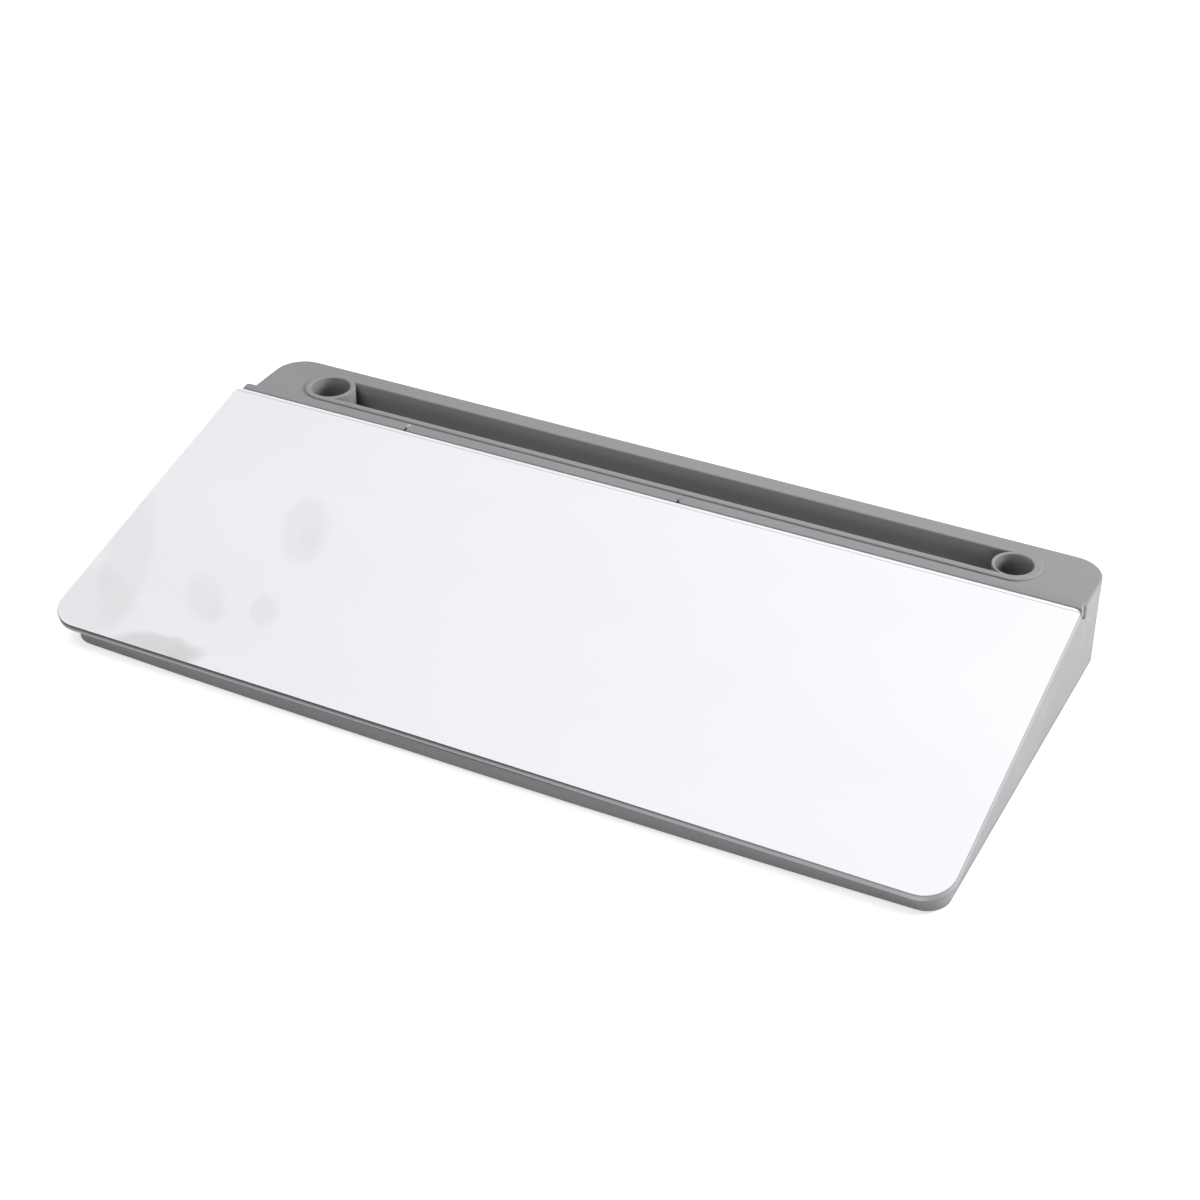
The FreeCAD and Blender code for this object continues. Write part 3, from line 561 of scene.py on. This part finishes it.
# Lowest point on the axis, both cross axes, head radius and height, shank radius, length
def screwMeasures(points, up):
    across = Vector((1.0, 0.0, 0.0))
    over = up.cross(across)
    middles = []
    for axis in (across, over):
        places = [point.dot(axis) for point in points]
        middles.append((min(places) + max(places)) / 2)
    line = across * middles[0] + over * middles[1]
    heights = [point.dot(up) for point in points]
    low, high = min(heights), max(heights)
    radii = [(point - line - up * height).length for point, height in zip(points, heights)]
    headRadius = max(radii)
    headTop = max(height for height, radius in zip(heights, radii)
                  if radius > screw["headEdgeShare"] * headRadius)
    shankRadius = max(radius for height, radius in zip(heights, radii) if height > headTop + screw["neckGap"])
    return line + up * low, across, over, headRadius, headTop - low, shankRadius, high - low


# Depth of the four-armed recess, from 0 to 1, at a turn and a share of the head's radius
def crossShape(turn, share):
    arm = (0.5 + 0.5 * math.cos(4.0 * turn)) ** 3
    reach = screw["crossCore"] + (screw["crossReach"] - screw["crossCore"]) * arm
    depth = max(0.0, min(1.0, (reach - share) / screw["crossSlope"] + 0.5))
    return depth * depth * (3.0 - 2.0 * depth)


def addScrew(build, points, up):
    start, across, over, headRadius, headHeight, shankRadius, length = screwMeasures(points, up)

    def at(turn, radius, height):
        return start + (across * math.cos(turn) + over * math.sin(turn)) * radius + up * height

    def headAt(turn, share):
        dome = headHeight * screw["domeShare"] * share ** 3
        cut = crossShape(turn, share)
        return at(turn, headRadius * share, dome + cut * headHeight * screw["crossDepth"])

    rings = []
    for row in range(1, screw["headRings"] + 1):
        share = row / screw["headRings"]
        rings.append(ringOf(build, screw["segments"], lambda turn: headAt(turn, share)))
    rings.append(ringOf(build, screw["segments"], lambda turn: at(turn, headRadius, headHeight)))
    for first, second in zip(rings, rings[1:]):
        joinRings(build, first, second)
    closeRing(build, rings[0], start + up * headHeight * screw["crossDepth"])
    closeRing(build, rings[-1], start + up * headHeight)
    # threaded shank, standing a hair inside the head
    base = headHeight * screw["shankFromShare"]
    rows = int((length - base) / screw["pitch"] * screw["rowsAPitch"])
    rings = []
    for row in range(rows + 1):
        height = base + (length - base) * row / rows
        tip = min(1.0, (length - height) / (length * screw["tipShare"]))

        def threadAt(turn):
            wave = abs(((height / screw["pitch"] - turn / (2.0 * math.pi)) % 1.0) * 2.0 - 1.0)
            radius = shankRadius * (1.0 - screw["threadShare"] * min(1.0, wave * screw["threadFlank"]))
            return at(turn, radius * (tip + screw["tipRadiusShare"] * (1.0 - tip)), height)

        rings.append(ringOf(build, screw["shankSegments"], threadAt))
    for first, second in zip(rings, rings[1:]):
        joinRings(build, first, second)
    closeRing(build, rings[0], start + up * base)
    closeRing(build, rings[-1], start + up * length)


def makeScrews():
    steel = screwSteel()
    upright = Vector((0.0, 0.0, 1.0))
    for piece, node, body, up in (("capScrews", "cap_screws", "base", upright),
                                  ("troughScrews", "trough_screws", "base", upright),
                                  ("stripScrews", "retainer_screws", "lid", boardUp)):
        build = bmesh.new()
        solids = looseSolids(node)
        for points in solids:
            addScrew(build, points, up)
        addPiece(piece, build, steel, body, "screw_steel", node, sharpFrom=screw["sharpFrom"])
        print(piece, "made:", len(solids))


makeScrews()

# Foam tapes under the glass: soft bulged sides and slightly uneven cut edges
tape = {
    "steps": 72,
    "bulge": 0.00012,
    "waver": 0.00018,
    # rate and phase of the waver on the front and rear edge
    "sways": ((37.0, 0.4), (29.0, 2.1)),
    "pale": (0.70, 0.70, 0.675),
    "cell": (0.50, 0.50, 0.48),
    "cellScale": 1900.0,
    "cellReach": 0.5,
    "cellDepth": 0.00008,
    "cellStrength": 0.5,
    "roughLow": 0.80,
    "roughHigh": 0.95,
}


def foamWhite():
    material, tree, shader = startMaterial("foamWhite")
    place = objectPlace(tree)
    cells = put(tree, "ShaderNodeTexVoronoi", {"Scale": tape["cellScale"]})
    wire(tree, place, cells.inputs["Vector"])
    pore = spread(tree, cells.outputs["Distance"], 1.0, 0.0, 0.0, tape["cellReach"])
    wire(tree, blendColours(tree, pore, tape["pale"], tape["cell"]), shader.inputs["Base Color"])
    wire(tree, spread(tree, pore, tape["roughLow"], tape["roughHigh"], 0.0, 1.0), shader.inputs["Roughness"])
    dents = bumpFrom(tree, cells.outputs["Distance"], tape["cellDepth"], tape["cellStrength"])
    wire(tree, dents, shader.inputs["Normal"])
    return material


def makeTapes():
    foam = foamWhite()
    for name in ("tape_front", "tape_middle", "tape_rear"):
        spots = [boardTurn.transposed() @ (vert.co - boardStart) for vert in nodes[name].data.vertices]
        low = Vector([min(spot[axis] for spot in spots) for axis in range(3)])
        high = Vector([max(spot[axis] for spot in spots) for axis in range(3)])
        build = bmesh.new()
        rings = []
        for step in range(tape["steps"] + 1):
            share = step / tape["steps"]
            sway = [tape["waver"] * 0.5 * (1.0 + math.sin(share * rate + phase))
                    for rate, phase in tape["sways"]]
            front, rear = low.y + tape["bulge"] + sway[0], high.y - tape["bulge"] - sway[1]
            middle = (low.z + high.z) / 2
            x = low.x + (high.x - low.x) * share
            section = ((front, low.z), (rear, low.z), (rear + tape["bulge"], middle), (rear, high.z),
                       (front, high.z), (front - tape["bulge"], middle))
            rings.append([build.verts.new(boardStart + boardTurn @ Vector((x, y, z))) for y, z in section])
        for first, second in zip(rings, rings[1:]):
            joinRings(build, first, second)
        build.faces.new(rings[0])
        build.faces.new(rings[-1])
        addPiece("foam" + name.split("_")[1].title(), build, foam, "lid", "foam_tape", name)


makeTapes()
print("foam tapes made")

# Camera at the photograph's viewing angle
camera = {
    "place": (0.3817, -0.72324, 0.5802),
    "azimuth": 26.95,
    "elevation": 34.08,
    "lens": 71.43,
    "sensor": 36.0,
    "nearest": 0.01,
    "farthest": 50.0,
}


def makeCamera():
    data = bpy.data.cameras.new("camera")
    data.lens = camera["lens"]
    data.sensor_width = camera["sensor"]
    data.clip_start = camera["nearest"]
    data.clip_end = camera["farthest"]
    eye = bpy.data.objects.new("camera", data)
    turn, lift = math.radians(camera["azimuth"]), math.radians(camera["elevation"])
    back = Vector((math.sin(turn) * math.cos(lift), -math.cos(turn) * math.cos(lift), math.sin(lift)))
    eye.location = camera["place"]
    eye.rotation_mode = "QUATERNION"
    eye.rotation_quaternion = (-back).to_track_quat("-Z", "Y")
    scene.collection.objects.link(eye)
    scene.camera = eye


makeCamera()

# Studio: pale floor, dim white surround, soft boxes at the right rear, low in front and above
studio = {
    "floorSize": 8.0,
    "floorColour": (0.62, 0.62, 0.63),
    "floorRough": 0.9,
    "floorLift": 0.70,
    "farLift": 0.93,
    "farReach": (0.7, 2.6),
    "surround": 0.10,
    "shine": 0.72,
    "sidePlace": (1.25, 0.65, 0.79),
    "sideSize": 0.70,
    "sidePower": 28.2,
    "fillPlace": (1.00, -1.95, 0.42),
    "fillSize": 0.80,
    "fillPower": 13.6,
    "topPlace": (-0.40, -0.48, 1.65),
    "topSize": 1.00,
    "topPower": 15.4,
}


# 1 where the studio is seen outright, less in a shine, 0 for light that falls on the object
def seenDirectly(tree):
    path = put(tree, "ShaderNodeLightPath")
    outright = calc(tree, "MAXIMUM", path.outputs["Is Camera Ray"], path.outputs["Is Transmission Ray"])
    shine = calc(tree, "MULTIPLY", path.outputs["Is Glossy Ray"], studio["shine"])
    return calc(tree, "MAXIMUM", outright, shine)


def makeFloor():
    mesh = bpy.data.meshes.new("floor")
    build = bmesh.new()
    bmesh.ops.create_grid(build, x_segments=1, y_segments=1, size=studio["floorSize"] / 2)
    build.to_mesh(mesh)
    build.free()
    floor = bpy.data.objects.new("floor", mesh)
    scene.collection.objects.link(floor)
    material, tree, shader = startMaterial("paleFloor")
    shader.inputs["Base Color"].default_value = studio["floorColour"] + (1.0,)
    shader.inputs["Roughness"].default_value = studio["floorRough"]
    shader.inputs["Emission Color"].default_value = (1.0, 1.0, 1.0, 1.0)
    # the floor pales with distance, so that it meets the white surround without a line
    reach = vectorCalc(tree, "LENGTH", objectPlace(tree), output="Value")
    lift = spread(tree, reach, studio["floorLift"], studio["farLift"], *studio["farReach"], True)
    wire(tree, calc(tree, "MULTIPLY", seenDirectly(tree), lift), shader.inputs["Emission Strength"])
    mesh.materials.append(material)


def makeSurround():
    world = bpy.data.worlds.new("surround")
    world.use_nodes = True
    tree = world.node_tree
    strength = put(tree, "ShaderNodeMapRange", {"To Min": studio["surround"], "To Max": 1.0})
    wire(tree, seenDirectly(tree), strength.inputs["Value"])
    wire(tree, strength.outputs["Result"], tree.nodes["Background"].inputs["Strength"])
    tree.nodes["Background"].inputs["Color"].default_value = (1.0, 1.0, 1.0, 1.0)
    scene.world = world


def makeLamp(name, place, size, power):
    data = bpy.data.lights.new(name, "AREA")
    data.shape = "SQUARE"
    data.size = size
    data.energy = power
    lamp = bpy.data.objects.new(name, data)
    lamp.location = place
    lamp.visible_glossy = False  # no square patch of lamp in the board's shine
    lamp.rotation_mode = "QUATERNION"
    lamp.rotation_quaternion = (-Vector(place)).to_track_quat("-Z", "Y")
    scene.collection.objects.link(lamp)


makeFloor()
makeSurround()
makeLamp("sideBox", studio["sidePlace"], studio["sideSize"], studio["sidePower"])
makeLamp("fillBox", studio["fillPlace"], studio["fillSize"], studio["fillPower"])
makeLamp("topBox", studio["topPlace"], studio["topSize"], studio["topPower"])
print("camera and studio ready")
